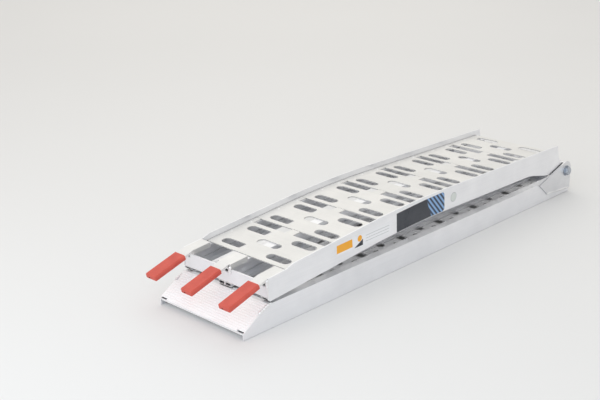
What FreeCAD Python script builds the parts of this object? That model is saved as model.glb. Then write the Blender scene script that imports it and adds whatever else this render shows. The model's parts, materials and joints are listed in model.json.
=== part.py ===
import FreeCAD, Part
import math
import os

# Folding loading ramp, lying folded on the floor.
# X runs along the ramp from the foot tip (0) to the hinge end, Y across it (0 = centre line), Z up.
# The toe section lies upside down on its lips. The hook section lies on top of it, deck up. Its rails
# run straight up from the hooks, over an arc, and straight on with a slight fall to the hinge.
# All sizes are millimetres. The whole model is moved at the end so that X = 0 is mid-length.

os.makedirs("parts", exist_ok=True)
V = FreeCAD.Vector

# ---- driving dimensions -------------------------------------------------------------------
HALF_WIDTH = 150.0          # outer face of a side rail
RAIL_HEIGHT = 66.0
WEB = 3.0                   # side rail wall
CENTRE_WEB = 4.0
FLANGE_DEPTH = 24.0         # how far both hollow flanges reach in from the outer face
FOOT_FLANGE = (0.0, 12.5)   # heights above the rail's bottom edge
LEDGE = (41.0, 50.5)
WALL = 2.2                  # wall of the hollow flanges
SHEET = 3.0                 # deck panel thickness
DECK_TOP = LEDGE[1] + SHEET
PANEL_PITCH = 182.0
PANEL_GAP = 1.0
SIDE_PLAY = 0.2             # deck panel edge to rail wall

TOE_LENGTH = 1488.5
TOE_SEAMS = [211.0 + PANEL_PITCH * k for k in range(7)]
FOOT_RUN = 81.0             # length of the sloped foot along X
FOOT_TIP_TOP = 19.7
FOOT_PLATE = 2.0

HINGE_X = 1455.0
HINGE_Z = 79.0
BOLT_RADIUS = 8.0
RUNNING_CLEARANCE = 0.05
END_FACE = TOE_LENGTH - HINGE_X     # distance from hinge axis to both butting end faces
BUTT_GAP = 0.5

# Path of the bottom edge of the hook section's rails: straight, arc, straight.
ARC_RADIUS = 3770.0
CREST_X = 762.0             # highest point of the arc
CREST_Z = 114.9
RISE = math.atan(0.084)     # slope of the straight part at the hooks
FALL = math.atan(0.0115)    # slope of the straight part at the hinge
ARC_Z = CREST_Z - ARC_RADIUS

HOOK_FOOT_FLANGE = (0.0, 9.4)
HOOK_LEDGE = (37.0, 46.5)
HOOK_WALL = 1.4
HOOK_DECK_TOP = HOOK_LEDGE[1] + SHEET
HOOK_PITCH = 177.0
HOOK_START = 83.0
HOOK_DECK_START = 160.0
HOOK_SEAMS = [338.0 + HOOK_PITCH * k for k in range(6)]
HOOK_DECK_END = 1377.0
TONGUE_START = 1228.0

# The hook section's end plate lies square to its path, this far before the hinge axis.
HINGE_ALONG = (HINGE_X - CREST_X) * math.cos(FALL) - (HINGE_Z - ARC_Z) * math.sin(FALL)
HOOK_END = ARC_RADIUS * FALL + HINGE_ALONG - END_FACE - BUTT_GAP
FOLD_RANGE = 180.0 - math.degrees(FALL)

HOLE_WIDTH = 28.0           # of ovals and slots, along the ramp
SLOT_SPAN = (14.0, 130.0)   # from the centre line
OVAL_LENGTH = 78.0
OVAL_OFFSET = 80.0
# Hole places from the seam at the hinge end of each panel: ovals, centre oval, slot.
TOE_HOLES = ((-55.0, -147.0), -101.0, -HOLE_WIDTH / 2)
HOOK_HOLES = ((-56.5, -148.0), -100.5, -HOLE_WIDTH / 2)

RIVET_RADIUS = 2.4
RIVET_HEAD = 4.6
RIVET_ROW = HALF_WIDTH - 13.0
RIVETS_FROM_SEAM = (-30.0, -101.0, -170.0)


# ---- helpers ------------------------------------------------------------------------------
def box(x0, x1, y0, y1, z0, z1):
    return Part.makeBox(x1 - x0, y1 - y0, z1 - z0, V(x0, y0, z0))


def prism_y(outline, y0, y1):
    """Outline of (x, z) points, extruded across the ramp."""
    points = [V(x, y0, z) for x, z in outline]
    wire = Part.makePolygon(points + [points[0]])
    return Part.Face(wire).extrude(V(0, y1 - y0, 0))


def prism_x(outline, x0, x1):
    """Outline of (y, z) points, extruded along the ramp."""
    points = [V(x0, y, z) for y, z in outline]
    wire = Part.makePolygon(points + [points[0]])
    return Part.Face(wire).extrude(V(x1 - x0, 0, 0))


def rod_y(x, z, radius, y0, y1):
    return Part.makeCylinder(radius, y1 - y0, V(x, y0, z), V(0, 1, 0))


def mirror_y(shape):
    return shape.mirror(V(0, 0, 0), V(0, 1, 0))


def on_side(shape, side):
    """Parts are drawn on the +Y side; side -1 is the near one."""
    return shape if side > 0 else mirror_y(shape)


def clamp_turn(turn):
    return min(max(turn, -RISE), FALL)


def station(x, height=0.0):
    """Distance along the path, from the crest, of a point at x and a height above the path."""
    reach = ARC_RADIUS + height
    turn = clamp_turn(math.asin((x - CREST_X) / reach))
    return ARC_RADIUS * turn + (x - CREST_X - reach * math.sin(turn)) / math.cos(turn)


def path_z(x, height=0.0):
    along = station(x, height)
    turn = clamp_turn(along / ARC_RADIUS)
    past = along - ARC_RADIUS * turn
    return ARC_Z + (ARC_RADIUS + height) * math.cos(turn) - past * math.sin(turn)


def path_points(*places):
    """World (x, z) points from pairs of x and height above the path."""
    return [(x, path_z(x, height)) for x, height in places]


def to_path(shape, along):
    """Takes a shape drawn at the crest to another station of the path."""
    turn = clamp_turn(along / ARC_RADIUS)
    moved = shape.translated(V(along - ARC_RADIUS * turn, 0, 0))
    moved.rotate(V(CREST_X, 0, ARC_Z), V(0, 1, 0), math.degrees(turn))
    return moved


def crest_face(outline, cells):
    """Face of an outline of (y, height) points with open cells, standing at the crest."""
    wires = []
    for loop in [outline] + cells:
        points = [V(CREST_X, y, CREST_Z + height) for y, height in loop]
        wires.append(Part.makePolygon(points + [points[0]]))
    face = Part.Face(wires[0])
    return face.cut([Part.Face(wire) for wire in wires[1:]]).Faces[0] if cells else face


def swept(outline, cells, start, end):
    """Sweeps an outline of (y, height) points along the path between two stations."""
    face = crest_face(outline, cells)
    marks = [-ARC_RADIUS * RISE, ARC_RADIUS * FALL]
    stops = [start] + [mark for mark in marks if start < mark < end] + [end]
    pieces = []
    for low, high in zip(stops[:-1], stops[1:]):
        turn = clamp_turn((low + high) / 2 / ARC_RADIUS)
        profile = to_path(face, low)
        if -RISE < turn < FALL:
            sweep = math.degrees((high - low) / ARC_RADIUS)
            pieces.append(profile.revolve(V(CREST_X, 0, ARC_Z), V(0, 1, 0), sweep))
        else:
            run = high - low
            pieces.append(profile.extrude(V(run * math.cos(turn), 0, -run * math.sin(turn))))
    return pieces[0].fuse(pieces[1:]).removeSplitter() if len(pieces) > 1 else pieces[0]


def rectangle(y0, y1, h0, h1):
    return [(y0, h0), (y1, h0), (y1, h1), (y0, h1)]


# ---- rail sections ------------------------------------------------------------------------
def side_rail_outline(foot, ledge):
    outer = HALF_WIDTH
    web_in = HALF_WIDTH - WEB
    edge = HALF_WIDTH - FLANGE_DEPTH
    return [(outer, 0), (outer, RAIL_HEIGHT), (web_in, RAIL_HEIGHT), (web_in, ledge[1]),
            (edge, ledge[1]), (edge, ledge[0]), (web_in, ledge[0]), (web_in, foot[1]),
            (edge, foot[1]), (edge, 0)]


def side_rail_cells(foot, ledge, wall):
    edge = HALF_WIDTH - FLANGE_DEPTH + wall
    web_in = HALF_WIDTH - WEB
    return [rectangle(edge, web_in, low + wall, high - wall) for low, high in (foot, ledge)]


def centre_rail_outline(foot, ledge, foot_reach, ledge_reach):
    half = CENTRE_WEB / 2
    right = [(foot_reach, 0), (foot_reach, foot[1]), (half, foot[1]), (half, ledge[0]),
             (ledge_reach, ledge[0]), (ledge_reach, ledge[1])]
    left = [(-y, h) for y, h in reversed(right)]
    return right + left


def centre_rail_cells(foot, ledge, foot_reach, ledge_reach, wall):
    half = CENTRE_WEB / 2
    cells = []
    for (low, high), reach in ((foot, foot_reach), (ledge, ledge_reach)):
        cells.append(rectangle(half, reach - wall, low + wall, high - wall))
        cells.append(rectangle(wall - reach, -half, low + wall, high - wall))
    return cells


def upside_down(outline):
    return [(y, RAIL_HEIGHT - h) for y, h in outline]


def straight_rail(outline, cells, x0, x1):
    rail = prism_x(upside_down(outline), x0, x1)
    return rail.cut([prism_x(upside_down(cell), x0 - 1, x1 + 1) for cell in cells])


# ---- deck panels --------------------------------------------------------------------------
def stadium(x, y, length, width, z0, z1):
    """A slot with round ends whose long axis runs across the ramp."""
    straight = length - width
    body = box(x - width / 2, x + width / 2, y - straight / 2, y + straight / 2, z0, z1)
    ends = [Part.makeCylinder(width / 2, z1 - z0, V(x, y + s * straight / 2, z0)) for s in (-1, 1)]
    return body.fuse(ends).removeSplitter()


def panel_cutters(seam, start, holes, has_slot, z0, z1, place):
    """Grip holes of one panel; place(tool, x) puts a tool drawn at x = 0 on the deck."""
    ovals, centre_oval, slot_centre = holes
    tools = []
    for offset in ovals:
        if seam + offset - HOLE_WIDTH > start:
            for side in (-1, 1):
                oval = stadium(0, side * OVAL_OFFSET, OVAL_LENGTH, HOLE_WIDTH, z0, z1)
                tools.append(place(oval, seam + offset))
    tools.append(place(stadium(0, 0, OVAL_LENGTH, HOLE_WIDTH, z0, z1), seam + centre_oval))
    if has_slot:
        for side in (-1, 1):
            low, high = sorted((side * SLOT_SPAN[0], side * SLOT_SPAN[1]))
            slot = box(-HOLE_WIDTH / 2, HOLE_WIDTH / 2 + PANEL_GAP, low, high, z0, z1)
            tools.append(place(slot, seam + slot_centre))
    return tools


def rivet_places(seam, start):
    rows = [seam + offset for offset in RIVETS_FROM_SEAM if seam + offset > start + 8]
    return [(x, y) for x in rows for y in (-RIVET_ROW, RIVET_ROW)]


def rivet(z, up):
    """Blind rivet through sheet and ledge, head on the deck side (up = 1 or -1)."""
    head = Part.makeSphere(RIVET_HEAD, V(0, 0, z - up * (RIVET_HEAD - 1.8)), V(0, 1, 0))
    keep = box(-6, 6, -6, 6, *sorted((z, z + up * 4)))
    head = head.common(keep)
    grip = SHEET + WALL
    shank = Part.makeCylinder(RIVET_RADIUS, grip, V(0, 0, z - grip if up > 0 else z))
    tail_at = z - grip - 1.6 if up > 0 else z + grip
    tail = Part.makeCylinder(RIVET_RADIUS + 1.0, 1.6, V(0, 0, tail_at))
    return head.fuse([shank, tail]).removeSplitter()


# ---- toe section --------------------------------------------------------------------------
FOOT_SLOPE = (RAIL_HEIGHT + FOOT_PLATE - FOOT_TIP_TOP) / FOOT_RUN
PLATE_DROP = FOOT_PLATE * math.sqrt(1 + FOOT_SLOPE ** 2)
CUT_AT_TIP = FOOT_TIP_TOP - PLATE_DROP
CUT_RUN = (RAIL_HEIGHT - CUT_AT_TIP) / FOOT_SLOPE
CELL_NOTCH = 4.8            # corner of the foot plate left open over the ledge's hollow
NOTCH_START = HINGE_X - 31.0
NOTCH_FLOOR = 34.0
EYE_RADIUS = 27.0
EAR_RADIUS = 31.0
EAR_THICKNESS = 5.0
LUG_THICKNESS = 6.0
TONGUE_Y = (129.8, HALF_WIDTH - WEB)
WASHER_RADIUS = 16.0
CROSS_CHANNEL = 28.0
CROSS_WALL = 4.0


def foot_wedge():
    """Everything above the sloped cut at the foot end."""
    return prism_y([(-5, CUT_AT_TIP - 5 * FOOT_SLOPE), (CUT_RUN, RAIL_HEIGHT),
                    (CUT_RUN, 90), (-5, 90)], -200, 200)


def toe_deck_z():
    return RAIL_HEIGHT - DECK_TOP, RAIL_HEIGHT - LEDGE[1]


def toe_rivet_spots():
    spots = []
    start = 2.0
    for seam in TOE_SEAMS + [TOE_SEAMS[-1] + PANEL_PITCH]:
        spots += rivet_places(seam, start + 20)
        start = seam
    return spots


def toe_rail(side):
    rail = straight_rail(side_rail_outline(FOOT_FLANGE, LEDGE),
                         side_rail_cells(FOOT_FLANGE, LEDGE, WALL), 0, TOE_LENGTH)
    notch = box(NOTCH_START, TOE_LENGTH + 5, 100, 200, NOTCH_FLOOR, 90)
    low = RAIL_HEIGHT - LEDGE[1]
    holes = [Part.makeCylinder(RIVET_RADIUS, WALL + 2, V(x, y, low - 1))
             for x, y in toe_rivet_spots() if y > 0]
    return on_side(rail.cut([foot_wedge(), notch] + holes), side)


def toe_centre_rail():
    reach = FLANGE_DEPTH
    rail = straight_rail(centre_rail_outline(FOOT_FLANGE, LEDGE, reach, reach),
                         centre_rail_cells(FOOT_FLANGE, LEDGE, reach, reach, WALL), 0,
                         TOE_LENGTH - CROSS_WALL - CROSS_CHANNEL)
    return rail.cut(foot_wedge())


def toe_deck_panels():
    bottom, top = toe_deck_z()
    edge = HALF_WIDTH - WEB - SIDE_PLAY
    half_gap = PANEL_GAP / 2
    ends = [2.0 - half_gap] + TOE_SEAMS + [TOE_LENGTH - CROSS_WALL + half_gap]
    panels = []

    def place(tool, x):
        return tool.translated(V(x, 0, 0))

    for start, end in zip(ends[:-1], ends[1:]):
        last = end == ends[-1]
        seam = start + PANEL_PITCH if last else end
        panel = box(start + half_gap, end - half_gap, -edge, edge, bottom, top)
        cutters = panel_cutters(seam, start, TOE_HOLES, not last, bottom - 2, top + 2, place)
        for x, y in toe_rivet_spots():
            if start < x < end:
                cutters.append(Part.makeCylinder(RIVET_RADIUS, SHEET + 4, V(x, y, bottom - 2)))
        panels.append(panel.cut(cutters))
    return panels


def foot_plate():
    """Ribbed plate over the sloped foot, with a short fold onto the rails' flat edges."""
    length = math.hypot(FOOT_RUN, RAIL_HEIGHT + FOOT_PLATE - FOOT_TIP_TOP)
    ux, uz = FOOT_RUN / length, (RAIL_HEIGHT + FOOT_PLATE - FOOT_TIP_TOP) / length
    ribs = 13
    rib_pitch, rib_width, rib_height = length / (ribs + 1), 1.6, 0.8
    outline = [(0, CUT_AT_TIP), (0, FOOT_TIP_TOP)]
    for k in range(1, ribs + 1):
        for along, up in ((-rib_width, 0), (-rib_width / 2, rib_height),
                          (rib_width / 2, rib_height), (rib_width, 0)):
            s = k * rib_pitch + along
            outline.append((s * ux - up * uz, FOOT_TIP_TOP + s * uz + up * ux))
    fold_end = FOOT_RUN + 12
    outline += [(FOOT_RUN, RAIL_HEIGHT + FOOT_PLATE), (fold_end, RAIL_HEIGHT + FOOT_PLATE),
                (fold_end, RAIL_HEIGHT), (CUT_RUN, RAIL_HEIGHT)]
    plate = prism_y(outline, -HALF_WIDTH, HALF_WIDTH)
    notch = box(-1, CELL_NOTCH, HALF_WIDTH - FLANGE_DEPTH, HALF_WIDTH + 1, 0, 40)
    return plate.cut([notch, mirror_y(notch)])


def ear(side):
    """Outer hinge plate, welded on the rail's outside, round about the hinge bolt."""
    reach = math.hypot(HINGE_X - 1296, HINGE_Z - 64)
    tilt = math.atan2(HINGE_Z - 64, HINGE_X - 1296) + math.asin(EAR_RADIUS / reach)
    tangent = (HINGE_X - EAR_RADIUS * math.sin(tilt), HINGE_Z + EAR_RADIUS * math.cos(tilt))
    y0, y1 = HALF_WIDTH, HALF_WIDTH + EAR_THICKNESS
    right = HINGE_X + EAR_RADIUS
    plate = prism_y([(1296, 64), (1345, 27), (right, 15), (right, HINGE_Z), (HINGE_X, HINGE_Z),
                     tangent], y0, y1)
    plate = plate.fuse(rod_y(HINGE_X, HINGE_Z, EAR_RADIUS, y0, y1)).removeSplitter()
    plate = plate.cut(rod_y(HINGE_X, HINGE_Z, BOLT_RADIUS + 0.1, y0 - 1, y1 + 1))
    return on_side(plate, side)


def inner_lug(side):
    """Inner hinge plate, on the inside of the rail's flanges."""
    y1 = HALF_WIDTH - FLANGE_DEPTH
    y0 = y1 - LUG_THICKNESS
    radius = 24.0
    low = RAIL_HEIGHT - LEDGE[1]
    right = TOE_LENGTH - CROSS_WALL
    plate = prism_y([(1380, low), (right, low), (right, HINGE_Z - 20), (HINGE_X + radius, HINGE_Z),
                     (HINGE_X, HINGE_Z), (HINGE_X - radius * 0.6, HINGE_Z + radius * 0.8),
                     (1396, 60), (1380, 48)], y0, y1)
    plate = plate.fuse(rod_y(HINGE_X, HINGE_Z, radius, y0, y1)).removeSplitter()
    plate = plate.cut(rod_y(HINGE_X, HINGE_Z, BOLT_RADIUS + 0.1, y0 - 1, y1 + 1))
    return on_side(plate, side)


def toe_cross_channel():
    """Channel across the hinge end between the inner lugs, open towards the foot."""
    reach = HALF_WIDTH - FLANGE_DEPTH
    inner = reach - LUG_THICKNESS
    x1 = TOE_LENGTH
    x0 = x1 - CROSS_WALL - CROSS_CHANNEL
    low = RAIL_HEIGHT - LEDGE[1]
    high = RAIL_HEIGHT
    web = box(x1 - CROSS_WALL, x1, -reach, reach, low - SHEET, high - 6)
    flanges = [box(x0, x1 - CROSS_WALL, -inner, inner, high - 10, high - 6),
               box(x0, x1 - CROSS_WALL, -inner, inner, low, low + CROSS_WALL)]
    corner = box(x1 - 10, x1 + 1, inner, reach + 1, NOTCH_FLOOR, high)
    return web.cut([corner, mirror_y(corner)]).fuse(flanges).removeSplitter()


def hexagon(x, z, across_flats, y0, y1):
    radius = across_flats / math.sqrt(3)
    outline = [(x + radius * math.cos(math.radians(60 * k + 12)),
                z + radius * math.sin(math.radians(60 * k + 12))) for k in range(6)]
    return prism_y(outline, y0, y1)


HEAD_SEAT = HALF_WIDTH + EAR_THICKNESS + 2.5
NUT_SEAT = HALF_WIDTH - FLANGE_DEPTH - LUG_THICKNESS - 2.5
NUT_HEIGHT = 16.0
HEAD_HEIGHT = 10.0


def hinge_bolt(side):
    shank = rod_y(HINGE_X, HINGE_Z, BOLT_RADIUS, NUT_SEAT - NUT_HEIGHT - 3, HEAD_SEAT)
    head = hexagon(HINGE_X, HINGE_Z, 24, HEAD_SEAT, HEAD_SEAT + HEAD_HEIGHT)
    dome = Part.makeCone(20, 11.2, HEAD_HEIGHT, V(HINGE_X, HEAD_SEAT, HINGE_Z), V(0, 1, 0))
    return on_side(head.common(dome).fuse(shank).removeSplitter(), side)


def hinge_nut(side):
    nut = hexagon(HINGE_X, HINGE_Z, 24, NUT_SEAT - 12, NUT_SEAT)
    collar = rod_y(HINGE_X, HINGE_Z, 11.0, NUT_SEAT - NUT_HEIGHT, NUT_SEAT - 12)
    hole = rod_y(HINGE_X, HINGE_Z, BOLT_RADIUS, NUT_SEAT - NUT_HEIGHT - 1, NUT_SEAT + 1)
    return on_side(nut.fuse(collar).removeSplitter().cut(hole), side)


def hinge_washers(side):
    """Head washer, outer and inner thrust washers, nut washer."""
    stack = [(HALF_WIDTH + EAR_THICKNESS, HEAD_SEAT, 17.0),
             (TONGUE_Y[1] + 0.3, HALF_WIDTH, WASHER_RADIUS),
             (HALF_WIDTH - FLANGE_DEPTH, TONGUE_Y[0] - 0.3, WASHER_RADIUS),
             (NUT_SEAT, HALF_WIDTH - FLANGE_DEPTH - LUG_THICKNESS, WASHER_RADIUS)]
    rings = []
    for y0, y1, radius in stack:
        ring = rod_y(HINGE_X, HINGE_Z, radius, y0, y1)
        rings.append(ring.cut(rod_y(HINGE_X, HINGE_Z, BOLT_RADIUS + 0.1, y0 - 1, y1 + 1)))
    return on_side(Part.makeCompound(rings), side)


def toe_rivets():
    bottom = RAIL_HEIGHT - DECK_TOP
    return Part.makeCompound([rivet(bottom, -1).translated(V(x, y, 0)) for x, y in toe_rivet_spots()])


# ---- hook section -------------------------------------------------------------------------
HOOK_END_PLATE = 4.0
CENTRE_REACH = (22.0, 14.0)     # half widths of the centre rail's foot flange and ledge
BAR_TOP = 60.0                  # heights above the path
END_PLATE_TOP = 22.0
TONGUE_TOP = 33.0
TONGUE_ROOM = 36.0
FRONT_CORNER = 6.0              # cut off the rails' lower front corner
LIP_STEP_X = 151.0
LIP_FULL_X = 172.0
TAB_THICKNESS = 6.0
TAB_WIDTH = 33.0
CENTRE_TAB_WIDTH = 44.0
TAB_CENTRE = HALF_WIDTH - WEB - TAB_WIDTH / 2
TAB_LEG = 5.0                   # thickness of the bars' legs
TAB_END = 141.0
TAB_BEND_X = HOOK_START
HOOK_TILT = math.radians(16.4)
SLEEVE_START = 30.5             # along the bent tab, from the bend
SLEEVE_LENGTH = 100.0
SLEEVE_WIDTH = 39.0
SLEEVE_WALL = 4.2
SLEEVE_CHAMFER = 3.0
TIP_WALL = 6.0
VENT_RADIUS = 2.6
VENT_SIDE = 6.5                 # off the sleeve's middle
VENT_RISE = 4.2                 # above its underside
TAB_LENGTH = SLEEVE_START + SLEEVE_LENGTH - TIP_WALL


def place_on_path(tool, x):
    return to_path(tool.translated(V(CREST_X, 0, 0)), station(x, HOOK_DECK_TOP))


def hook_rivet_spots():
    spots = []
    start = HOOK_DECK_START
    for seam in HOOK_SEAMS + [HOOK_SEAMS[-1] + HOOK_PITCH]:
        spots += rivet_places(seam, start)
        start = seam
    return [(x, y) for x, y in spots if x < HOOK_DECK_END]


def hook_rail(side):
    rail = swept(side_rail_outline(HOOK_FOOT_FLANGE, HOOK_LEDGE),
                 side_rail_cells(HOOK_FOOT_FLANGE, HOOK_LEDGE, HOOK_WALL),
                 station(HOOK_START - 20), HOOK_END + 20)
    inner, outer = HALF_WIDTH - FLANGE_DEPTH - 5, HALF_WIDTH + 5
    web_in = HALF_WIDTH - WEB
    far = HINGE_X + 20
    trim_start = box(HOOK_START - 60, HOOK_START, inner, outer, 0, 250)
    corner = prism_y([(HOOK_START - 1, 0), (HOOK_START + FRONT_CORNER, 0)]
                     + path_points((HOOK_START + FRONT_CORNER, 0), (HOOK_START - 1, FRONT_CORNER)),
                     inner, outer)
    lip_cut = prism_y(path_points((HOOK_START - 5, BAR_TOP), (LIP_STEP_X, BAR_TOP),
                                  (LIP_STEP_X, BAR_TOP + 1.5), (LIP_FULL_X, RAIL_HEIGHT + 0.5))
                      + [(LIP_FULL_X, 250), (HOOK_START - 5, 250)], inner, outer)
    tongue_room = prism_y([(TONGUE_START, 0), (far, 0)]
                          + path_points((far, TONGUE_ROOM), (TONGUE_START, TONGUE_ROOM)),
                          inner, web_in)
    ledge_end = box(HOOK_DECK_END, far, inner, web_in, 0, 250)
    # The wall's hinge end slopes back to a step; its lower edge is cut away over the toe rail's ear.
    wall_end = prism_y([(1388, 200), (1411, 130), (1430, 115.5), (far, 115.5), (far, 200)], web_in, outer)
    under_cut = prism_y([(1337, 0), (1337, 88), (1378, 104), (1420, 115.5), (far, 115.5), (far, 0)],
                        inner, outer)
    holes = []
    for x, y in hook_rivet_spots():
        if y > 0:
            low = CREST_Z + HOOK_LEDGE[1] - HOOK_WALL - 0.5
            holes.append(place_on_path(Part.makeCylinder(RIVET_RADIUS, HOOK_WALL + 1.5, V(0, y, low)), x))
    cuts = [trim_start, corner, lip_cut, tongue_room, ledge_end, wall_end, under_cut]
    return on_side(rail.cut(cuts + holes), side)


def hook_centre_rail():
    """Its ledge stops with the deck; the foot flange and low wall run on to the end plate."""
    rail = swept(centre_rail_outline(HOOK_FOOT_FLANGE, HOOK_LEDGE, *CENTRE_REACH),
                 centre_rail_cells(HOOK_FOOT_FLANGE, HOOK_LEDGE, *CENTRE_REACH, HOOK_WALL),
                 station(HOOK_START - 20), HOOK_END - HOOK_END_PLATE)
    trim_start = box(HOOK_START - 60, HOOK_START, -50, 50, 0, 250)
    step = path_points((HOOK_DECK_END, END_PLATE_TOP), (HINGE_X, END_PLATE_TOP))
    trim_end = prism_y(step + [(HINGE_X, 250), (HOOK_DECK_END, 250)], -50, 50)
    return rail.cut([trim_start, trim_end])


def hook_deck_panels():
    edge = HALF_WIDTH - WEB - SIDE_PLAY
    half_gap = PANEL_GAP / 2
    low, high = CREST_Z + HOOK_LEDGE[1] - 2, CREST_Z + HOOK_DECK_TOP + 2
    ends = [HOOK_DECK_START - half_gap] + HOOK_SEAMS + [HOOK_DECK_END + half_gap]
    panels = []
    for start, end in zip(ends[:-1], ends[1:]):
        last = end == ends[-1]
        seam = start + HOOK_PITCH if last else end
        panel = swept(rectangle(-edge, edge, HOOK_LEDGE[1], HOOK_DECK_TOP), [],
                      station(start + half_gap, HOOK_DECK_TOP), station(end - half_gap, HOOK_DECK_TOP))
        cutters = panel_cutters(seam, start, HOOK_HOLES, not last, low, high, place_on_path)
        for x, y in hook_rivet_spots():
            if start < x < end:
                cutters.append(place_on_path(Part.makeCylinder(RIVET_RADIUS, high - low, V(0, y, low)), x))
        panels.append(panel.cut(cutters))
    return panels


def hook_rivets():
    top = CREST_Z + HOOK_DECK_TOP
    solids = [place_on_path(rivet(top, 1).translated(V(0, y, 0)), x) for x, y in hook_rivet_spots()]
    return Part.makeCompound(solids)


def hook_front_plates():
    """Two cross plates that close the hook end between the side rails' ledges and the centre wall."""
    slack = 0.6
    foot = path_z(HOOK_START, HOOK_FOOT_FLANGE[1]) + slack
    top = path_z(HOOK_START, HOOK_LEDGE[1])
    ledge_low = path_z(HOOK_START, HOOK_LEDGE[0]) - slack
    x0, x1 = HOOK_START, HOOK_START + HOOK_END_PLATE
    low_part = box(x0, x1, CENTRE_WEB / 2, HALF_WIDTH - WEB, foot, ledge_low)
    top_part = box(x0, x1, CENTRE_REACH[1], HALF_WIDTH - FLANGE_DEPTH, ledge_low - 1, top)
    plate = low_part.fuse(top_part).removeSplitter()
    return Part.makeCompound([plate, mirror_y(plate)])


def hook_rear_plate():
    """End plate across the hinge end, square to the path, which butts the toe section when open."""
    reach = TONGUE_Y[0] - 0.4
    return swept(rectangle(-reach, reach, 2.0, END_PLATE_TOP), [], HOOK_END - HOOK_END_PLATE, HOOK_END)


def tongue(side):
    """Hinge tongue: a thick plate inside the hook rail, with the bolt's bore in its round eye."""
    y0, y1 = TONGUE_Y
    outline = path_points((TONGUE_START, TONGUE_TOP)) + [
        (TONGUE_START, 109), (1262, 104), (1339, 87.5), (NOTCH_START + 1, 72), (HINGE_X - 20, HINGE_Z - 16),
        (HINGE_X, HINGE_Z), (HINGE_X + 4, HINGE_Z + 24), (1428, 112), (1411, 128)]
    outline += path_points((1402, TONGUE_TOP))
    plate = prism_y(outline, y0, y1)
    plate = plate.fuse(rod_y(HINGE_X, HINGE_Z, EYE_RADIUS, y0, y1)).removeSplitter()
    bore = rod_y(HINGE_X, HINGE_Z, BOLT_RADIUS + RUNNING_CLEARANCE, y0 - 1, y1 + 1)
    return on_side(plate.cut(bore), side)


def tab_front():
    """Where the top of a hook bar bends down towards its tip."""
    return TAB_BEND_X, path_z(TAB_BEND_X, BAR_TOP)


def tab(y, width):
    """Hook bar: a downward channel on the rail's ledge, then a flat tongue bent down for the sleeve."""
    front_x, front_z = tab_front()
    tip = (front_x - TAB_LENGTH * math.cos(HOOK_TILT), front_z - TAB_LENGTH * math.sin(HOOK_TILT))
    drop_x, drop_z = TAB_THICKNESS * math.sin(HOOK_TILT), TAB_THICKNESS * math.cos(HOOK_TILT)
    under = BAR_TOP - TAB_THICKNESS
    middle, corner = (HOOK_TILT + RISE) / 2, TAB_THICKNESS / math.cos((HOOK_TILT - RISE) / 2)
    front_low = (front_x + corner * math.sin(middle), front_z - corner * math.cos(middle))
    outline = path_points((TAB_END, BAR_TOP)) + [(front_x, front_z), tip, (tip[0] + drop_x, tip[1] - drop_z),
                                                 front_low] + path_points((TAB_END, under))
    plate = prism_y(outline, y - TAB_WIDTH / 2, y + TAB_WIDTH / 2)
    low, high = y - width / 2, y + width / 2
    seat = path_points((TAB_END, BAR_TOP), (front_x, BAR_TOP), (front_x, HOOK_LEDGE[1]),
                       (TAB_END, HOOK_LEDGE[1]))
    channel = prism_y(seat, low, high)
    wall_in = front_x + TAB_LEG
    hollow = prism_y(path_points((TAB_END + 1, under), (wall_in, under), (wall_in, HOOK_LEDGE[1] - 1),
                                 (TAB_END + 1, HOOK_LEDGE[1] - 1)), low + TAB_LEG, high - TAB_LEG)
    return plate.fuse(channel.cut(hollow)).removeSplitter()


def sleeve(y):
    """Rubber sleeve pushed over a hook tab, with bevelled edges and a vent hole at its tip."""
    front = tab_front()
    half = SLEEVE_WIDTH / 2
    thick = TAB_THICKNESS + 2 * SLEEVE_WALL
    c = SLEEVE_CHAMFER
    section = [(-half, -thick + c), (-half, -c), (-half + c, 0), (half - c, 0), (half, -c),
               (half, -thick + c), (half - c, -thick), (-half + c, -thick)]
    wire_points = [V(0, py, pz) for py, pz in section]
    face = Part.Face(Part.makePolygon(wire_points + [wire_points[0]]))
    body = face.extrude(V(-SLEEVE_LENGTH, 0, 0))
    tip_edges = [e for e in body.Edges
                 if all(abs(v.X + SLEEVE_LENGTH) < 1e-6 for v in e.Vertexes)]
    body = body.makeChamfer(2.0, tip_edges)
    pocket = box(-SLEEVE_LENGTH + TIP_WALL, 1, -TAB_WIDTH / 2, TAB_WIDTH / 2,
                 -SLEEVE_WALL - TAB_THICKNESS, -SLEEVE_WALL)
    vent = Part.makeCylinder(VENT_RADIUS, 8, V(-SLEEVE_LENGTH - 1, VENT_SIDE, -thick + VENT_RISE), V(1, 0, 0))
    body = body.cut([pocket, vent])
    body.rotate(V(0, 0, 0), V(0, 1, 0), -math.degrees(HOOK_TILT))
    along = SLEEVE_START
    origin = V(front[0] - along * math.cos(HOOK_TILT) - SLEEVE_WALL * math.sin(HOOK_TILT), y,
               front[1] - along * math.sin(HOOK_TILT) + SLEEVE_WALL * math.cos(HOOK_TILT))
    return body.translated(origin)


# ---- assembly -----------------------------------------------------------------------------
nodes = {}
for name, side in (("left", 1), ("right", -1)):
    nodes["toe_rail_" + name] = toe_rail(side)
    nodes["hook_rail_" + name] = hook_rail(side)
    nodes["hinge_ear_" + name] = ear(side)
    nodes["hinge_inner_lug_" + name] = inner_lug(side)
    nodes["hinge_tongue_" + name] = tongue(side)
    nodes["hinge_bolt_" + name] = hinge_bolt(side)
    nodes["hinge_nut_" + name] = hinge_nut(side)
    nodes["hinge_washers_" + name] = hinge_washers(side)
    nodes["hook_tab_" + name] = tab(side * TAB_CENTRE, TAB_WIDTH)
    nodes["hook_sleeve_" + name] = sleeve(side * TAB_CENTRE)
nodes["hook_tab_centre"] = tab(0.0, CENTRE_TAB_WIDTH)
nodes["hook_sleeve_centre"] = sleeve(0.0)
nodes["toe_centre_rail"] = toe_centre_rail()
nodes["hook_centre_rail"] = hook_centre_rail()
nodes["foot_plate"] = foot_plate()
nodes["toe_cross_channel"] = toe_cross_channel()
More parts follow.
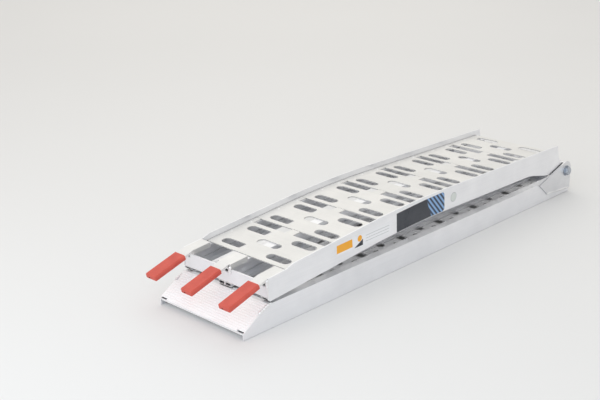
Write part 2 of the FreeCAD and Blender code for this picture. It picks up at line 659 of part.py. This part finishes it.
nodes["hook_front_plates"] = hook_front_plates()
nodes["hook_rear_plate"] = hook_rear_plate()
nodes["toe_deck_rivets"] = toe_rivets()
nodes["hook_deck_rivets"] = hook_rivets()
for number, panel in enumerate(toe_deck_panels(), 1):
    nodes["toe_deck_panel_%d" % number] = panel
for number, panel in enumerate(hook_deck_panels(), 1):
    nodes["hook_deck_panel_%d" % number] = panel

extent = Part.makeCompound(list(nodes.values())).BoundBox
shift = V(-(extent.XMin + extent.XMax) / 2, 0, -extent.ZMin)
for name, shape in nodes.items():
    shape.translated(shift).exportStep("parts/%s.step" % name)

print("nodes", len(nodes))
print("length %.1f width %.1f height %.1f" % (extent.XLength, extent.YLength, extent.ZLength))
print("hinge at x %.3f z %.3f, fold range %.2f degrees" % (HINGE_X + shift.x, HINGE_Z + shift.z, FOLD_RANGE))
for name, shape in nodes.items():
    if not shape.isValid():
        print("not valid:", name)
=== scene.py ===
import json
import math

import bmesh
import bpy
from mathutils import Matrix, Vector


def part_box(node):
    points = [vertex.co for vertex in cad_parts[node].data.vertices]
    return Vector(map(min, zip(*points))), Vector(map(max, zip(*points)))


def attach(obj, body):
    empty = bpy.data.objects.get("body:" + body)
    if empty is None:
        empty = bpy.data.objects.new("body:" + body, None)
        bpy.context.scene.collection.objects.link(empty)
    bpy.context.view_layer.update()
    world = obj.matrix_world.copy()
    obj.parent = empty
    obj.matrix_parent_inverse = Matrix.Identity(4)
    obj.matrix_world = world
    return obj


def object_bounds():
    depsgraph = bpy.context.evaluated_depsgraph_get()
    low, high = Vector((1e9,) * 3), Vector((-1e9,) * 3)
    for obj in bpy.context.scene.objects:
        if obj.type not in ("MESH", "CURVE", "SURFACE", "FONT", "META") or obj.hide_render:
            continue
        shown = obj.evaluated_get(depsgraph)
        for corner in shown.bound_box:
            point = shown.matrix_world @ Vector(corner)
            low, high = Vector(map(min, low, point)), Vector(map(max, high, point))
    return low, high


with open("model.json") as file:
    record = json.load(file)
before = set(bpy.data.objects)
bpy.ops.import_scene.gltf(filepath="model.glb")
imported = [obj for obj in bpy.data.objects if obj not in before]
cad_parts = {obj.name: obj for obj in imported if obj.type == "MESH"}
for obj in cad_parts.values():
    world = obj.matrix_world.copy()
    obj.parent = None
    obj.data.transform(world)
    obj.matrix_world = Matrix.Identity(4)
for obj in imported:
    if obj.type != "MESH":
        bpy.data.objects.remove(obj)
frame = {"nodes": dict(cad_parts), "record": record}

# Folding loading ramp, folded on a studio floor. Metres throughout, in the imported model's frame.

cad_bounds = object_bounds()
scene = bpy.context.scene
MM = 0.001


# ---- material helpers ---------------------------------------------------------------------
class Nodes:
    """A small builder for one material's node tree."""

    def __init__(self, name):
        self.material = bpy.data.materials.new(name)
        self.material.use_nodes = True
        self.tree = self.material.node_tree
        self.shader = self.tree.nodes["Principled BSDF"]
        self.coords = self.tree.nodes.new("ShaderNodeTexCoord")

    def add(self, kind, **inputs):
        node = self.tree.nodes.new(kind)
        for key, value in inputs.items():
            node.inputs[key.replace("_", " ")].default_value = value
        return node

    def link(self, source, target):
        self.tree.links.new(source, target)

    def mapping(self, scale):
        node = self.tree.nodes.new("ShaderNodeMapping")
        node.inputs["Scale"].default_value = scale
        self.link(self.coords.outputs["Object"], node.inputs["Vector"])
        return node.outputs["Vector"]

    def noise(self, scale, detail=4.0, roughness=0.6, stretch=(1, 1, 1), distortion=0.0):
        node = self.add("ShaderNodeTexNoise", Scale=scale, Detail=detail, Roughness=roughness,
                        Distortion=distortion)
        self.link(self.mapping(stretch), node.inputs["Vector"])
        return node.outputs["Fac"]

    def remap(self, value, low, high, to_low, to_high):
        node = self.tree.nodes.new("ShaderNodeMapRange")
        self.link(value, node.inputs["Value"])
        for key, number in (("From Min", low), ("From Max", high), ("To Min", to_low), ("To Max", to_high)):
            node.inputs[key].default_value = number
        return node.outputs["Result"]

    def mix(self, factor, first, second):
        node = self.tree.nodes.new("ShaderNodeMix")
        node.data_type = "RGBA"
        self.link(factor, node.inputs["Factor"])
        for socket, value in (("A", first), ("B", second)):
            target = [s for s in node.inputs if s.name == socket and s.type == "RGBA"][0]
            if isinstance(value, tuple):
                target.default_value = value + (1.0,)
            else:
                self.link(value, target)
        return [s for s in node.outputs if s.type == "RGBA"][0]

    def math(self, operation, first, second):
        node = self.tree.nodes.new("ShaderNodeMath")
        node.operation = operation
        for index, value in enumerate((first, second)):
            if isinstance(value, (int, float)):
                node.inputs[index].default_value = value
            else:
                self.link(value, node.inputs[index])
        return node.outputs[0]

    def edge_wear_and_highlight(self, radius):
        """Nearly 1 along sharp edges and 0 on flat faces; a mask for worn edges, and on aluminium also for a
        painted edge highlight.
        """
        bevel = self.add("ShaderNodeBevel", Radius=radius)
        bevel.samples = 4
        geometry = self.tree.nodes.new("ShaderNodeNewGeometry")
        turn = self.tree.nodes.new("ShaderNodeVectorMath")
        turn.operation = "DOT_PRODUCT"
        self.link(bevel.outputs["Normal"], turn.inputs[0])
        self.link(geometry.outputs["Normal"], turn.inputs[1])
        return self.remap(turn.outputs["Value"], 0.995, 0.90, 0.0, 1.0)

    def painted_crevice_shade(self, reach, darkest):
        """Painted shade: a colour factor, 1 in the open, down to darkest inside hollows narrower than about
        twice the reach.
        """
        shade = self.add("ShaderNodeAmbientOcclusion", Distance=reach)
        shade.samples = 6
        return self.remap(shade.outputs["AO"], 0.20, 0.58, darkest, 1.0)

    def scaled(self, colour, factor):
        """A colour times a grey factor."""
        node = self.tree.nodes.new("ShaderNodeVectorMath")
        node.operation = "SCALE"
        self.link(colour, node.inputs["Vector"])
        self.link(factor, node.inputs["Scale"])
        return node.outputs["Vector"]

    def bump(self, height, strength, distance, below=None):
        node = self.add("ShaderNodeBump", Strength=strength, Distance=distance)
        self.link(height, node.inputs["Height"])
        if below:
            self.link(below, node.inputs["Normal"])
        return node.outputs["Normal"]


def aluminium(name, light, dark, roughness, grain, grain_strength, metallic):
    """Mill-finish aluminium: drawn grain, soft mottling, handling scratches, edges brightened partly as wear
    and partly as painted highlight, painted shade in hollows.
    """
    m = Nodes(name)
    mottle = m.noise(9.0, 5.0, 0.6)
    streak = m.noise(1.0, 6.0, 0.65, grain)
    fine = m.noise(1.0, 3.0, 0.7, tuple(4 * g for g in grain))
    scratch = m.noise(60.0, 2.0, 0.5, (1.0, 5.0, 3.0), 1.5)
    scratch_mask = m.remap(scratch, 0.60, 0.66, 0.0, 1.0)
    tone = m.math("ADD", m.math("MULTIPLY", mottle, 0.6), m.math("MULTIPLY", streak, 0.4))
    colour = m.mix(m.remap(tone, 0.35, 0.65, 0.0, 1.0), dark, light)
    # Edges brightened: partly handling wear, partly a painted highlight along the edges.
    edge = m.edge_wear_and_highlight(0.0015)
    colour = m.mix(m.math("MULTIPLY", edge, 0.5), colour, tuple(min(1.0, 1.08 * c) for c in light))
    # Painted shade: the colour is darkened inside hollows, cells and narrow gaps.
    m.link(m.scaled(colour, m.painted_crevice_shade(0.010, 0.06)), m.shader.inputs["Base Color"])
    rough = m.math("ADD", m.remap(tone, 0.3, 0.7, roughness + 0.07, roughness - 0.05),
                   m.math("MULTIPLY", scratch_mask, 0.08))
    m.link(rough, m.shader.inputs["Roughness"])
    m.shader.inputs["Metallic"].default_value = metallic
    relief = m.bump(streak, grain_strength, 0.0004)
    relief = m.bump(fine, grain_strength * 0.6, 0.0002, relief)
    m.link(relief, m.shader.inputs["Normal"])
    return m.material


def zinc_steel():
    """Bright zinc plating with a cool cast."""
    m = Nodes("zinc_steel")
    mottle = m.noise(240.0, 4.0, 0.6)
    colour = m.mix(m.remap(mottle, 0.35, 0.65, 0.0, 1.0), (0.28, 0.315, 0.37), (0.57, 0.605, 0.66))
    m.link(colour, m.shader.inputs["Base Color"])
    m.link(m.remap(mottle, 0.3, 0.7, 0.34, 0.20), m.shader.inputs["Roughness"])
    m.shader.inputs["Metallic"].default_value = 0.9
    m.link(m.bump(mottle, 0.15, 0.0002), m.shader.inputs["Normal"])
    return m.material


def red_rubber():
    """Moulded rubber: matt, faintly mottled, fine grain, edges rubbed paler, painted shade in hollows."""
    m = Nodes("red_rubber")
    mottle = m.noise(35.0, 4.0, 0.6)
    grain = m.noise(1400.0, 2.0, 0.5)
    colour = m.mix(m.remap(mottle, 0.3, 0.7, 0.0, 1.0), (0.53, 0.068, 0.046), (0.63, 0.094, 0.064))
    colour = m.mix(m.math("MULTIPLY", m.edge_wear_and_highlight(0.002), 0.35), colour, (0.70, 0.16, 0.11))
    # Painted shade: the rubber's colour is darkened inside hollows.
    m.link(m.scaled(colour, m.painted_crevice_shade(0.006, 0.06)), m.shader.inputs["Base Color"])
    m.link(m.remap(grain, 0.3, 0.7, 0.40, 0.54), m.shader.inputs["Roughness"])
    m.link(m.bump(grain, 0.25, 0.0002), m.shader.inputs["Normal"])
    return m.material


def film(name, colour, roughness=0.35):
    """Printed film: plain colour with slight fading and rubbed marks."""
    m = Nodes(name)
    fade = m.noise(30.0, 3.0, 0.6)
    faded = tuple(c + 0.02 * (1 - c) for c in colour)
    m.link(m.mix(m.remap(fade, 0.35, 0.65, 0.0, 1.0), colour, faded), m.shader.inputs["Base Color"])
    m.link(m.remap(fade, 0.3, 0.7, roughness - 0.05, roughness + 0.08), m.shader.inputs["Roughness"])
    m.link(m.bump(m.noise(220.0, 2.0, 0.5), 0.05, 0.0001), m.shader.inputs["Normal"])
    return m.material


def striped_film(name, dark, pale, spacing):
    """Printed film with slanted stripes."""
    m = Nodes(name)
    place = m.add("ShaderNodeSeparateXYZ")
    m.link(m.coords.outputs["Object"], place.inputs["Vector"])
    slant = m.math("ADD", place.outputs["X"], m.math("MULTIPLY", place.outputs["Z"], 0.95))
    phase = m.math("FRACT", m.math("MULTIPLY", slant, 1 / spacing), 0.0)
    stripe = m.remap(phase, 0.44, 0.56, 0.0, 1.0)
    m.link(m.mix(stripe, dark, pale), m.shader.inputs["Base Color"])
    m.link(m.remap(m.noise(30.0), 0.3, 0.7, 0.28, 0.42), m.shader.inputs["Roughness"])
    return m.material


# Noise stretched along one axis gives the drawn grain of a rail or a sheet.
ALONG = (3.0, 420.0, 420.0)
ACROSS = (420.0, 3.0, 420.0)
EVEN = (60.0, 60.0, 60.0)

# Light tone, dark tone, roughness, grain direction, grain strength, metallic share.
ALUMINIUMS = {
    "rail_aluminium": ((0.925, 0.93, 0.955), (0.83, 0.835, 0.865), 0.32, ALONG, 0.14, 0.7),
    "deck_aluminium": ((0.82, 0.81, 0.79), (0.73, 0.725, 0.71), 0.44, ACROSS, 0.08, 0.4),
    "plate_aluminium": ((0.84, 0.835, 0.825), (0.75, 0.745, 0.735), 0.40, ALONG, 0.10, 0.5),
    "ribbed_aluminium": ((0.98, 0.985, 1.0), (0.93, 0.94, 0.96), 0.36, ACROSS, 0.08, 0.22),
    "rivet_aluminium": ((0.92, 0.92, 0.92), (0.80, 0.80, 0.80), 0.28, ACROSS, 0.03, 0.8),
    "weld_aluminium": ((0.92, 0.92, 0.925), (0.80, 0.80, 0.81), 0.34, EVEN, 0.12, 0.7),
    # Painted shade: a darker copy of the plate aluminium, for the hinge ears.
    "painted_shade_plate_aluminium": ((0.80, 0.805, 0.83), (0.66, 0.665, 0.69), 0.36, ALONG, 0.12, 0.65),
    # Painted light: a brighter copy of the deck aluminium, for the toe section's deck seen through the slots.
    "painted_light_deck_aluminium": ((0.97, 0.97, 0.98), (0.93, 0.93, 0.94), 0.42, ACROSS, 0.08, 0.3),
}
MATERIALS = {name: aluminium(name, *look) for name, look in ALUMINIUMS.items()}
MATERIALS["zinc_steel"] = zinc_steel()
MATERIALS["red_rubber"] = red_rubber()

AMBER_FILM = film("amber_film", (0.90, 0.40, 0.010))
WHITE_FILM = film("white_film", (0.86, 0.87, 0.90))
NAVY_FILM = film("navy_film", (0.016, 0.021, 0.034), 0.30)
STRIPED_FILM = striped_film("striped_film", (0.020, 0.036, 0.075), (0.22, 0.39, 0.66), 0.0165)
GREY_FILM = film("grey_film", (0.42, 0.44, 0.45))
PALE_FILM = film("pale_film", (0.66, 0.70, 0.68))


# ---- CAD nodes: materials and softened edges -------------------------------------------------
EDGE_WIDTH = {"red_rubber": 1.0 * MM, "zinc_steel": 0.5 * MM}
PLATE_EDGE_WIDTH = 0.35 * MM
SHARP = math.radians(35)


def node_material(name, slot):
    """The slot's material, but painted brighter (painted light) on the toe section's deck and painted darker
    (painted shade) on the hinge ears.
    """
    if name.startswith("toe_deck_panel"):
        return MATERIALS["painted_light_deck_aluminium"]
    if name.startswith("hinge_ear"):
        return MATERIALS["painted_shade_plate_aluminium"]
    return MATERIALS[slot]


def soften_edges(obj, width):
    bevel = obj.modifiers.new("soft_edges", "BEVEL")
    bevel.width = width
    bevel.segments = 2
    bevel.limit_method = "ANGLE"
    bevel.angle_limit = SHARP
    bevel.use_clamp_overlap = True


slot_of = {entry["node"]: entry["material_slot"] for entry in frame["record"]["subparts"]}
for name, obj in frame["nodes"].items():
    slot = slot_of[name]
    obj.data.materials.clear()
    obj.data.materials.append(node_material(name, slot))
    if slot != "rivet_aluminium":       # rivets are too small for softened edges
        soften_edges(obj, EDGE_WIDTH.get(slot, PLATE_EDGE_WIDTH))


# ---- pieces made here --------------------------------------------------------------------------
def finish_piece(name, bm, material, body):
    mesh = bpy.data.meshes.new(name)
    bmesh.ops.recalc_face_normals(bm, faces=bm.faces)
    bm.to_mesh(mesh)
    bm.free()
    mesh.materials.append(material)
    obj = bpy.data.objects.new(name, mesh)
    scene.collection.objects.link(obj)
    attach(obj, body)


# ---- weld beads ----------------------------------------------------------------------------
BEAD_SIDES = 10
RINGS_PER_RIPPLE = 6
RIPPLE_SWELL = 0.16
SLOW_SWELL = 0.10
BEAD_WIDENING = 1.15


def weld_bead(name, start, end, body, outward, radius, ripple):
    """A rippled fillet bead between two points, its crown towards outward."""
    start, end, outward = Vector(start), Vector(end), Vector(outward).normalized()
    along = (end - start).normalized()
    side = along.cross(outward).normalized()
    length = (end - start).length
    count = max(12, int(length / (ripple / RINGS_PER_RIPPLE)))
    bm = bmesh.new()
    rings = []
    for i in range(count + 1):
        t = i / count
        ripples = RIPPLE_SWELL * math.cos(2 * math.pi * t * length / ripple)
        swell = 1 + ripples + SLOW_SWELL * math.sin(9.1 * t + 1.3)
        taper = min(1.0, math.sqrt(max(0.02, min(t, 1 - t) * length / radius)))
        r = radius * swell * taper
        middle = start + along * (t * length)
        turns = [2 * math.pi * k / BEAD_SIDES for k in range(BEAD_SIDES)]
        rings.append([bm.verts.new(middle + r * (math.cos(a) * outward + BEAD_WIDENING * math.sin(a) * side))
                      for a in turns])
    for ring, following in zip(rings, rings[1:]):
        for k in range(BEAD_SIDES):
            nxt = (k + 1) % BEAD_SIDES
            bm.faces.new((ring[k], ring[nxt], following[nxt], following[k]))
    bm.faces.new(rings[0])
    bm.faces.new(list(reversed(rings[-1])))
    for face in bm.faces:
        face.smooth = len(face.verts) == 4
    finish_piece(name, bm, MATERIALS["weld_aluminium"], body)


# ---- labels --------------------------------------------------------------------------------
FILM_LIFT = 0.10          # outer face of a bottom film above the rail, mm
LAYER_LIFT = 0.06         # and of each film stuck over another
RAIL_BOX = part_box("hook_rail_right")


def label(name, outline, material, layer):
    """A thin film on the right hook rail; outline holds (distance from the rail's front, z) in mm."""
    front, face_y = RAIL_BOX[0][0], RAIL_BOX[0][1]
    lift = FILM_LIFT + LAYER_LIFT * layer
    bm = bmesh.new()
    back, top = [[bm.verts.new((front + x * MM, y, z * MM)) for x, z in outline]
                 for y in (face_y, face_y - lift * MM)]
    bm.faces.new(back)
    bm.faces.new(top)
    for k in range(len(outline)):
        nxt = (k + 1) % len(outline)
        bm.faces.new((back[k], back[nxt], top[nxt], top[k]))
    finish_piece(name, bm, material, "hook_section")


def disc(cx, cz, radius):
    count = 28
    turns = [2 * math.pi * k / count for k in range(count)]
    return [(cx + radius * math.cos(t), cz + radius * math.sin(t)) for t in turns]


def notice_labels():
    """A white film with an amber block, a small sign without a meaning and three thin lines."""
    label("label_white", [(242, 117), (345, 115.5), (466, 114.5), (466, 153), (345, 145.5), (242, 142)],
          WHITE_FILM, 0)
    label("label_amber", [(243, 120.5), (304, 122.5), (302, 144.5), (242.5, 142.5)], AMBER_FILM, 1)
    label("label_wedge", [(311, 116.5), (345, 117), (345, 134)], NAVY_FILM, 1)
    label("label_spot", disc(332, 138, 8.5), AMBER_FILM, 1)
    start, end, lowest, pitch, rise, thickness = 356, 452, 123.0, 8.0, 1.5, 1.1
    for line in range(3):
        low = lowest + pitch * line
        outline = [(start, low), (end, low + rise), (end, low + rise + thickness), (start, low + thickness)]
        label("label_line_%d" % (line + 1), outline, GREY_FILM, 1)


def navy_labels():
    """A long navy film whose hinge end is striped on a slant."""
    label("label_navy", [(486, 110.6), (560, 113.8), (632, 115.9), (640, 115.9), (614, 171.5), (560, 169),
                         (483, 164.5)], NAVY_FILM, 0)
    label("label_stripes", [(640, 115.9), (694, 116.2), (701, 122), (698, 166), (691, 173), (614, 171.5)],
          STRIPED_FILM, 0)


def round_label():
    middle, rim, face = (743, 146), 14.0, 12.6
    label("label_round", disc(*middle, rim), GREY_FILM, 0)
    label("label_round_face", disc(*middle, face), PALE_FILM, 1)


notice_labels()
navy_labels()
round_label()

# ---- the beads' places, from the boxes of the plates they join ---------------------------------
SIDES = (("right", -1), ("left", 1))
RAIL_WALL = 3.0 * MM
RAIL_FACE = -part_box("toe_rail_right")[0][1]
TOE_RAIL_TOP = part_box("toe_rail_right")[1][2]
PLATE_LOW, PLATE_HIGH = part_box("hook_front_plates")
FRONT_X = PLATE_LOW[0]
# Radius and ripple length of each kind of bead.
FOOT_BEAD = (3.6 * MM, 7.0 * MM)
FRONT_BEAD = (4.2 * MM, 8.0 * MM)
WALL_BEAD = (1.9 * MM, 9.0 * MM)
EAR_BEAD = (4.2 * MM, 6.0 * MM)
BAR_BEAD = (3.0 * MM, 6.0 * MM)


def foot_bead(side_name, side):
    """Up the foot plate's slope, along the top of the rail."""
    low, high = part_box("foot_plate")
    y = side * (RAIL_FACE - 1.0 * MM)
    weld_bead("weld_foot_" + side_name, (low[0] + 50 * MM, y, low[2] + 33.5 * MM),
              (high[0] - 5 * MM, y, TOE_RAIL_TOP + 0.3 * MM), "toe_section", (-0.5, side, 0.8), *FOOT_BEAD)


def front_beads(side_name, side):
    """Inside the corner of a front plate and the hook rail, and on the rail wall's front edge."""
    x, y = FRONT_X - 0.4 * MM, side * (RAIL_FACE - RAIL_WALL - 1.5 * MM)
    weld_bead("weld_front_" + side_name, (x, y, PLATE_LOW[2] + 20 * MM), (x, y, PLATE_HIGH[2] + 12 * MM),
              "hook_section", (-1, -0.4 * side, 0), *FRONT_BEAD)
    y = side * (RAIL_FACE - RAIL_WALL / 2)
    weld_bead("weld_wall_" + side_name, (FRONT_X, y, PLATE_LOW[2] + 1 * MM),
              (FRONT_X, y, PLATE_HIGH[2] + 11 * MM), "hook_section", (-1, side, 0), *WALL_BEAD)


def ear_bead(side_name, side):
    """Under the hinge ear, against the toe rail."""
    low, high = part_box("hinge_ear_right")
    y = side * (RAIL_FACE + 1.6 * MM)
    weld_bead("weld_ear_" + side_name, (low[0] + 49 * MM, y, low[2] + 11.5 * MM),
              (high[0] - 3 * MM, y, low[2] + 0.5 * MM), "toe_section", (0, side, -0.4), *EAR_BEAD)


def bar_bead(side_name, side):
    """Beside the centre hook bar, against the front plate."""
    x, y = FRONT_X - 0.6 * MM, side * (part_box("hook_tab_centre")[1][1] - 1.5 * MM)
    weld_bead("weld_bar_" + side_name, (x, y, PLATE_HIGH[2] - 13 * MM), (x, y, PLATE_HIGH[2] + 9 * MM),
              "hook_section", (-1, 0.6 * side, 0), *BAR_BEAD)


for side_name, side in SIDES:
    foot_bead(side_name, side)
    front_beads(side_name, side)
    ear_bead(side_name, side)
for side_name, side in SIDES:
    bar_bead(side_name, side)


# ---- stage, light, camera -------------------------------------------------------------------
FLOOR_REACH = 14.0
FLOOR_GAP = 0.0002        # below the model's lowest point


def studio_floor():
    """A plain pale floor with a very faint cloudiness."""
    corners = [(-FLOOR_REACH, -FLOOR_REACH, 0), (FLOOR_REACH, -FLOOR_REACH, 0), (FLOOR_REACH, FLOOR_REACH, 0),
               (-FLOOR_REACH, FLOOR_REACH, 0)]
    mesh = bpy.data.meshes.new("studio_floor")
    mesh.from_pydata(corners, [], [(0, 1, 2, 3)])
    floor = bpy.data.objects.new("studio_floor", mesh)
    scene.collection.objects.link(floor)
    floor.location.z = cad_bounds[0][2] - FLOOR_GAP
    m = Nodes("studio_floor")
    colour = m.mix(m.noise(0.6, 2.0, 0.5), (0.765, 0.765, 0.765), (0.79, 0.79, 0.79))
    m.link(colour, m.shader.inputs["Base Color"])
    m.shader.inputs["Roughness"].default_value = 0.75
    mesh.materials.append(m.material)


def studio_world():
    """Even, slightly warm light from all round."""
    world = bpy.data.worlds.new("studio")
    world.use_nodes = True
    background = world.node_tree.nodes["Background"]
    background.inputs["Color"].default_value = (1.0, 0.985, 0.955, 1.0)
    background.inputs["Strength"].default_value = 0.82
    scene.world = world
    scene.view_settings.view_transform = "Standard"


def soft_light(name, place, aim, size, power, colour):
    data = bpy.data.lights.new(name, "AREA")
    data.shape = "RECTANGLE"
    data.size, data.size_y = size
    data.energy = power
    data.color = colour
    lamp = bpy.data.objects.new(name, data)
    lamp.location = place
    lamp.rotation_euler = (Vector(aim) - Vector(place)).to_track_quat("-Z", "Y").to_euler()
    scene.collection.objects.link(lamp)


# Place, what it points at, size, watts, colour.
LIGHTS = {
    "overhead": ((0.2, 0.6, 2.6), (0, 0, 0), (3.2, 2.6), 10.0, (1.0, 0.985, 0.95)),
    "front_left": ((-2.6, -1.2, 1.8), (-0.4, 0, 0.05), (1.8, 1.8), 20.0, (0.70, 0.84, 1.0)),
    "foot_end": ((-3.0, 0.6, 1.5), (-0.7, 0, 0.05), (1.6, 1.2), 14.0, (0.97, 0.985, 1.0)),
    "far_floor": ((3.0, 3.3, 2.6), (3.0, 3.3, 0), (4.0, 4.0), 17.0, (1.0, 0.96, 0.87)),
}

CAMERA_PLACE = (-2.2129, -1.7259, 1.1037)
CAMERA_YAW, CAMERA_PITCH, CAMERA_ROLL = 43.135, 19.247, 0.086     # degrees
CAMERA_LENS = 62.2175                                             # mm, on a 36 mm wide sensor


def camera():
    """Looks at the ramp from the hook end's near corner, a little above."""
    data = bpy.data.cameras.new("camera")
    data.sensor_width = 36.0
    data.lens = CAMERA_LENS
    data.clip_end = 100.0
    view = bpy.data.objects.new("camera", data)
    yaw, pitch, roll = (math.radians(angle) for angle in (CAMERA_YAW, CAMERA_PITCH, CAMERA_ROLL))
    level = math.cos(pitch)
    forward = Vector((math.cos(yaw) * level, math.sin(yaw) * level, -math.sin(pitch)))
    turn = forward.to_track_quat("-Z", "Y").to_matrix() @ Matrix.Rotation(-roll, 3, "Z")
    view.matrix_world = Matrix.Translation(CAMERA_PLACE) @ turn.to_4x4()
    scene.collection.objects.link(view)
    scene.camera = view


studio_floor()
studio_world()
for name, settings in LIGHTS.items():
    soft_light(name, *settings)
camera()
